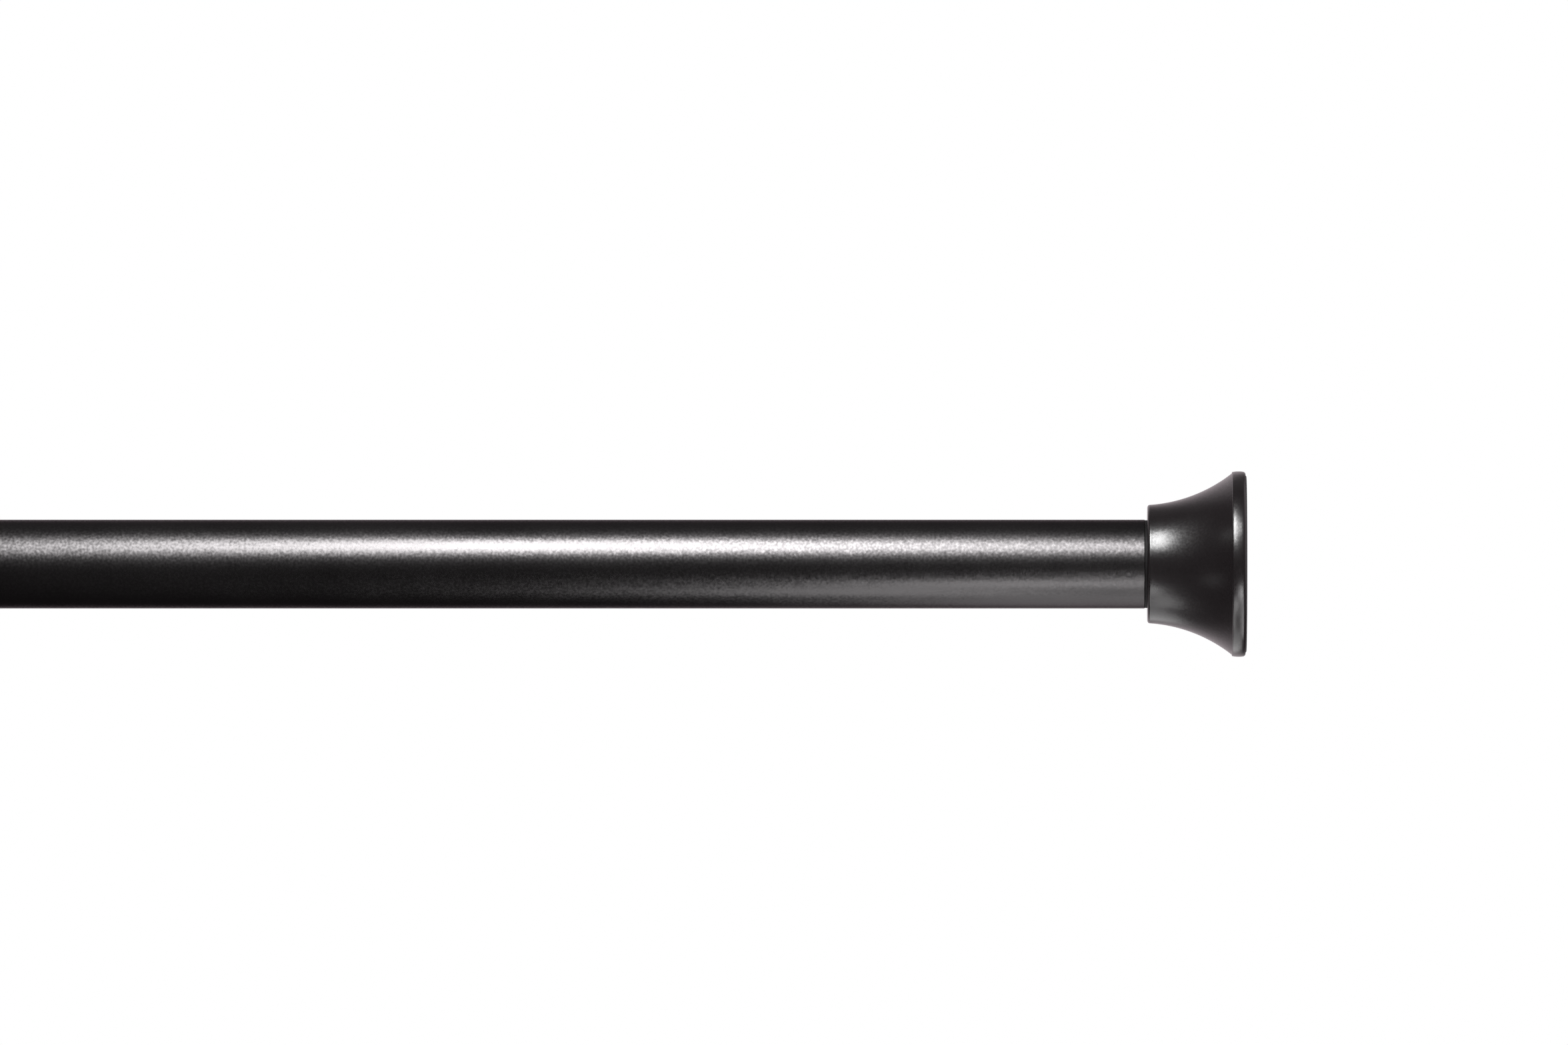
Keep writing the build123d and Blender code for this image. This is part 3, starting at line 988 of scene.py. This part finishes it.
@dataclass
class Tubes:
    """The outer tube with the ring in its mouth, and the tube that slides in it."""

    outer_wall: float = 0.8
    inner_wall: float = 0.7
    edge_break: float = 0.15
    bore_break: float = 0.1
    press_gap: float = 0.05
    running_gap: float = 0.2
    mouth_flange: float = 1.0
    mouth_round: float = 0.4
    mouth_hole_round: float = 0.2
    crimp_from_end: float = 7.0
    crimp_width: float = 3.0
    crimp_depth: float = 0.6
    crimp_points: int = 17

    def __post_init__(self) -> None:
        """Read both tubes' stations and radii from the frame."""
        self.outer_start, self.outer_end, self.outer_r = reach_of("outer_tube")
        self.inner_start, self.inner_end, self.inner_r = reach_of("inner_tube")
        self.outer_bore = self.outer_r - self.outer_wall
        self.inner_bore = self.inner_r - self.inner_wall

    def outer(self) -> Surface:
        """Work out the outer tube, cut square with its edges broken.

        Returns:
            Closed surface of the tube.
        """
        start, end, r, bore = self.outer_start, self.outer_end, self.outer_r, self.outer_bore
        section = [
            (start, bore, self.bore_break),
            (start, r, self.edge_break),
            (end, r, self.edge_break),
            (end, bore, self.bore_break),
        ]
        return turned(np.array(section))

    def crimp(self, surface_r: float) -> np.ndarray:
        """Points of the rolled groove in a surface of the inner tube.

        The groove is a circular arc of radius R = (half^2 + depth^2) / (2 depth), so that
        r = surface - sqrt(R^2 - s^2) + R - depth, with s from the groove's middle.

        Args:
            surface_r: Radius of the surface beside the groove.

        Returns:
            Rows of station, radius and no corner radius, towards +X.
        """
        half = self.crimp_width / 2
        arc_r = (half**2 + self.crimp_depth**2) / (2 * self.crimp_depth)
        s = np.linspace(-half, half, self.crimp_points)
        r = surface_r - np.sqrt(arc_r**2 - s**2) + arc_r - self.crimp_depth
        return np.column_stack([self.inner_end - self.crimp_from_end + s, r, np.zeros(len(s))])

    def inner(self) -> Surface:
        """Work out the inner tube, with the rolled groove that holds its bush.

        Returns:
            Closed surface of the tube.
        """
        start, end, r, bore = self.inner_start, self.inner_end, self.inner_r, self.inner_bore
        section = [
            [(start, bore, self.bore_break), (start, r, self.edge_break)],
            self.crimp(r),
            [(end, r, self.edge_break), (end, bore, self.bore_break)],
            self.crimp(bore)[::-1],
        ]
        return turned(np.vstack(section))

    def mouth(self) -> Surface:
        """Work out the guide ring in the outer tube's mouth.

        Returns:
            Closed surface of the ring.
        """
        flange, sleeve, _ = reach_of("mouth_collar")
        step = flange + self.mouth_flange
        hole, sleeve_r = self.inner_r + self.running_gap, self.outer_bore - self.press_gap
        section = [
            (flange, hole, self.mouth_hole_round),
            (flange, self.outer_r, self.mouth_round),
            (step, self.outer_r, self.press_gap),
            (step, sleeve_r, 0.0),
            (sleeve, sleeve_r, self.bore_break),
            (sleeve, hole, self.bore_break),
        ]
        return turned(np.array(section))

    def build(self) -> list[Object]:
        """Make and dress both tubes and the ring.

        Returns:
            Outer tube, ring and inner tube.
        """
        return [
            self.outer().piece("outer_rod_tube", End.OUTER.body, TUBE_FINISH, "outer_tube"),
            self.mouth().piece("mouth_guide_ring", End.OUTER.body, NYLON_FINISH, "mouth_collar"),
            self.inner().piece("inner_rod_tube", End.INNER.body, TUBE_FINISH, "inner_tube"),
        ]


@dataclass
class TwistLock:
    """Spring, spindle and twist lock inside the tubes."""

    body: str = "spindle"
    wire: float = 1.4
    coil_gap: float = 0.1
    active_turns: int = 8
    closed_turns: int = 2
    steps_a_turn: int = 64
    solid_length: float = 35.0
    thread_root_r: float = 2.4
    thread_pitch: float = 0.8
    thread_height: float = 0.085

    def __post_init__(self) -> None:
        """Read the spring's stations and radius from the frame."""
        self.spring_start, self.spring_end, self.coil_r = reach_of("tension_spring")

    def spring(self) -> Surface:
        """Work out the spring: round wire on a helix with one closed, ground turn at each end.

        The rise along the rod is piecewise linear in the angle: the closed pitch over the first and last
        turns, the active pitch between them. The winding is cut flat at both ends by holding its stations
        inside the spring's length, as grinding does.

        Returns:
            Closed surface of the wire.
        """
        start, end = self.spring_start, self.spring_end
        closed = self.wire + self.coil_gap
        turns = self.active_turns + self.closed_turns
        count = np.linspace(0.0, turns, turns * self.steps_a_turn + 1)
        rise = np.interp(count, [0, 1, turns - 1, turns], [0.0, closed, end - start - closed, end - start])
        around = round_angles(WIRE_SEGMENTS)
        section = np.column_stack([np.cos(around), np.sin(around)]) * self.wire / 2
        coil = wound(start, self.coil_r - self.wire / 2, rise, 2 * pi * count + pi / 2, section)
        coil.points[:, 0] = np.clip(coil.points[:, 0], start, end)
        return coil

    def spindle_thread(self) -> Surface:
        """Work out the thread that the tapered nut runs on, over the nut's own length.

        Returns:
            Closed surface of the ridge.
        """
        start, end, _ = reach_of("lock_cone")
        return thread(start, end, self.thread_root_r, self.thread_height, self.thread_pitch)

    def build(self) -> list[Object]:
        """Make the spring and the spindle's thread, and dress the lock's own solids.

        Returns:
            Spring, thread and the dressed solids.
        """
        spring = self.spring().piece("wound_tension_spring", self.body, SPRING_FINISH, "tension_spring")
        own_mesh(spring)
        return [
            spring,
            self.spindle_thread().piece("spindle_thread", self.body, ZINC_FINISH),
            *WHITE_FINISH.dress("lock_expander", "guide_bush"),
            *ACETAL_FINISH.dress("lock_cone"),
            *ZINC_FINISH.dress("lock_spindle", "retaining_clips", "stop_washer", "thrust_washer"),
        ]


# Studio


@dataclass(frozen=True)
class Card:
    """One soft lamp that only shows in the rod's gloss, facing the rod's axis at its middle's X.

    Its elevation is measured from the camera's side: 0 is level in front, 90 straight above, and -90
    straight below. Lengths are in metres.
    """

    name: str
    middle: float
    elevation: float
    distance: float
    length: float
    height: float
    radiance: float

    def build(self) -> None:
        """Place the lamp, with a power of pi times its radiance times its elliptical area."""
        lamp = bpy.data.lights.new(self.name, "AREA")
        lamp.shape, lamp.size, lamp.size_y = "ELLIPSE", self.length, self.height
        lamp.energy = self.radiance * pi * (pi / 4 * self.length * self.height)
        thing = added(self.name, lamp)
        e = radians(self.elevation)
        away = Vector((0.0, -cos(e), sin(e)))
        thing.location = Vector((self.middle, 0.0, 0.0)) + away * self.distance
        thing.rotation_euler = away.to_track_quat("Z", "Y").to_euler()
        thing.visible_camera = thing.visible_diffuse = False


@dataclass
class Studio:
    """Pale floor, white surround, plain soft light and the photograph's camera."""

    lens: float = 1000.0
    sensor: float = 36.0
    clip_end: float = 100.0
    frame_width: float = 0.3355
    aim_x: float = -0.09894
    aim_z: float = 0.0089
    floor_z: float = -0.25
    floor_r: float = 6.0
    floor_points: int = 96
    floor_tone: Colour = (0.97, 0.97, 0.97)
    ambient: float = 0.62
    sun_level: float = 1.2
    sun_spread: float = 40.0
    sun_tilt: tuple[float, float, float] = (14.0, -8.0, 0.0)
    studio_level: float = 0.08
    backdrop: Direction = (-0.5, 0.866, 0.0)
    side_wall: Direction = (0.90, 0.12, 0.42)
    wall_edge: tuple[float, float] = (0.58, 0.9)
    white_level: float = 1.0
    white_tone: Colour = (1.0, 1.0, 1.0)
    room_tone: Colour = (1.0, 0.89, 0.935)
    cards: tuple[Card, ...] = (
        Card("key_card", -0.148, 47.3, 0.60, 0.11, 0.39, 70.0),
        Card("side_card", 0.020, 45.5, 0.60, 0.09, 0.16, 30.0),
        Card("top_back_card", -0.100, 122.0, 0.60, 0.80, 0.36, 0.14),
        Card("low_left_card", -0.078, -75.0, 0.25, 0.08, 0.14, 4.6),
        Card("low_front_card", -0.045, -51.0, 0.25, 0.07, 0.09, 8.0),
        Card("low_right_card", 0.055, -64.0, 0.25, 0.07, 0.42, 6.0),
        Card("low_cap_card", 0.004, -33.0, 0.25, 0.07, 0.06, 1.9),
        Card("low_rim_card", 0.010, -34.0, 0.12, 0.03, 0.03, 10.0),
        Card("low_far_card", -0.58, -33.0, 0.40, 0.30, 0.12, 1.3),
        Card("high_far_card", -0.97, 66.0, 0.47, 0.42, 0.16, 2.4),
        Card("low_back_card", -0.030, -112.0, 0.25, 0.10, 0.26, 2.6),
    )

    def camera(self) -> None:
        """Set up the camera, level and square to the rod, as far off as the frame's width asks."""
        data = bpy.data.cameras.new("photo_camera")
        data.lens, data.sensor_width, data.clip_end = self.lens, self.sensor, self.clip_end
        thing = added("photo_camera", data)
        thing.location = (self.aim_x, -self.frame_width * self.lens / self.sensor, self.aim_z)
        thing.rotation_euler = (pi / 2, 0.0, 0.0)
        bpy.context.scene.camera = thing

    def floor(self) -> None:
        """Lay the pale floor: a disc of points (r cos a, r sin a) on one ring, under the rod's middle."""
        angle = round_angles(self.floor_points)
        middle = sum(corner[0] for corner in CAD_BOX) / 2
        x, y = middle + self.floor_r * np.cos(angle), self.floor_r * np.sin(angle)
        rim = np.column_stack([x, y, np.full(self.floor_points, self.floor_z)])
        mesh = bpy.data.meshes.new("studio_floor")
        mesh.from_pydata(rim.tolist(), [], [list(range(self.floor_points))])
        material = bpy.data.materials.new("studio_floor_finish")
        material.use_nodes = True
        net = Net(material.node_tree)
        matt = {"Base Color": opaque(self.floor_tone), "Roughness": 1.0, "Specular IOR Level": 0.0}
        net.feed(net.tree.nodes["Principled BSDF"], matt)
        mesh.materials.append(material)
        thing = added("studio_floor", mesh)
        thing.visible_glossy = False

    def sun(self) -> None:
        """Hang the soft overhead light that gives the floor its shadow."""
        lamp = bpy.data.lights.new("overhead_light", "SUN")
        lamp.energy, lamp.angle = self.sun_level, radians(self.sun_spread)
        thing = added("overhead_light", lamp)
        thing.rotation_euler = [radians(angle) for angle in self.sun_tilt]
        thing.visible_glossy = False

    def wall(self, net: Net, axis: Direction) -> NodeSocket:
        """Make one soft-edged white wall of the room, smoothstep of the dot product of direction and axis.

        Args:
            net: The world's node tree.
            axis: Unit direction of the wall's middle.

        Returns:
            Socket with the level, from the dark room's to white.
        """
        direction = net.node("ShaderNodeTexCoord", {}).outputs["Generated"]
        facing = net.vector("DOT_PRODUCT", {0: direction, 1: axis})["Value"]
        return net.smoothstep(facing, self.wall_edge, self.studio_level)

    def surround(self) -> None:
        """Set up the world: white to the camera, white walls in the rod's gloss, plain light elsewhere."""
        world = bpy.data.worlds.new("white_surround")
        bpy.context.scene.world = world
        world.use_nodes = True
        net = Net(world.node_tree)
        ray = net.node("ShaderNodeLightPath", {}).outputs
        walls = net.math("MAXIMUM", self.wall(net, self.backdrop), self.wall(net, self.side_wall))
        gloss = net.math("MAXIMUM", ray["Is Glossy Ray"], ray["Is Transmission Ray"])
        level = net.mix(gloss, self.ambient, walls)
        seen = net.mix(ray["Is Camera Ray"], level, self.white_level)
        tone = net.mix(gloss, opaque(self.white_tone), opaque(self.room_tone), "RGBA")
        net.feed(net.tree.nodes["Background"], {"Strength": seen, "Color": tone})

    def build(self) -> None:
        """Put up the whole studio."""
        bpy.context.scene.view_settings.view_transform = "Standard"
        self.camera()
        self.floor()
        self.sun()
        self.surround()
        for card in self.cards:
            card.build()


def main() -> None:
    """Build the rod and its studio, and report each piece."""
    logging.basicConfig(level=logging.INFO, format="%(message)s")
    tubes = Tubes()
    assemblies = (
        tubes,
        EndFitting(End.OUTER, tubes.outer_r, tubes.outer_bore),
        EndFitting(End.INNER, tubes.inner_r, tubes.inner_bore),
        TwistLock(),
    )
    for assembly in assemblies:
        for piece in assembly.build():
            finish = piece.material_slots[0].name
            log.info("%s: %d faces, %s", piece.name, len(piece.data.polygons), finish)
    Studio().build()


if __name__ == "__main__":
    main()
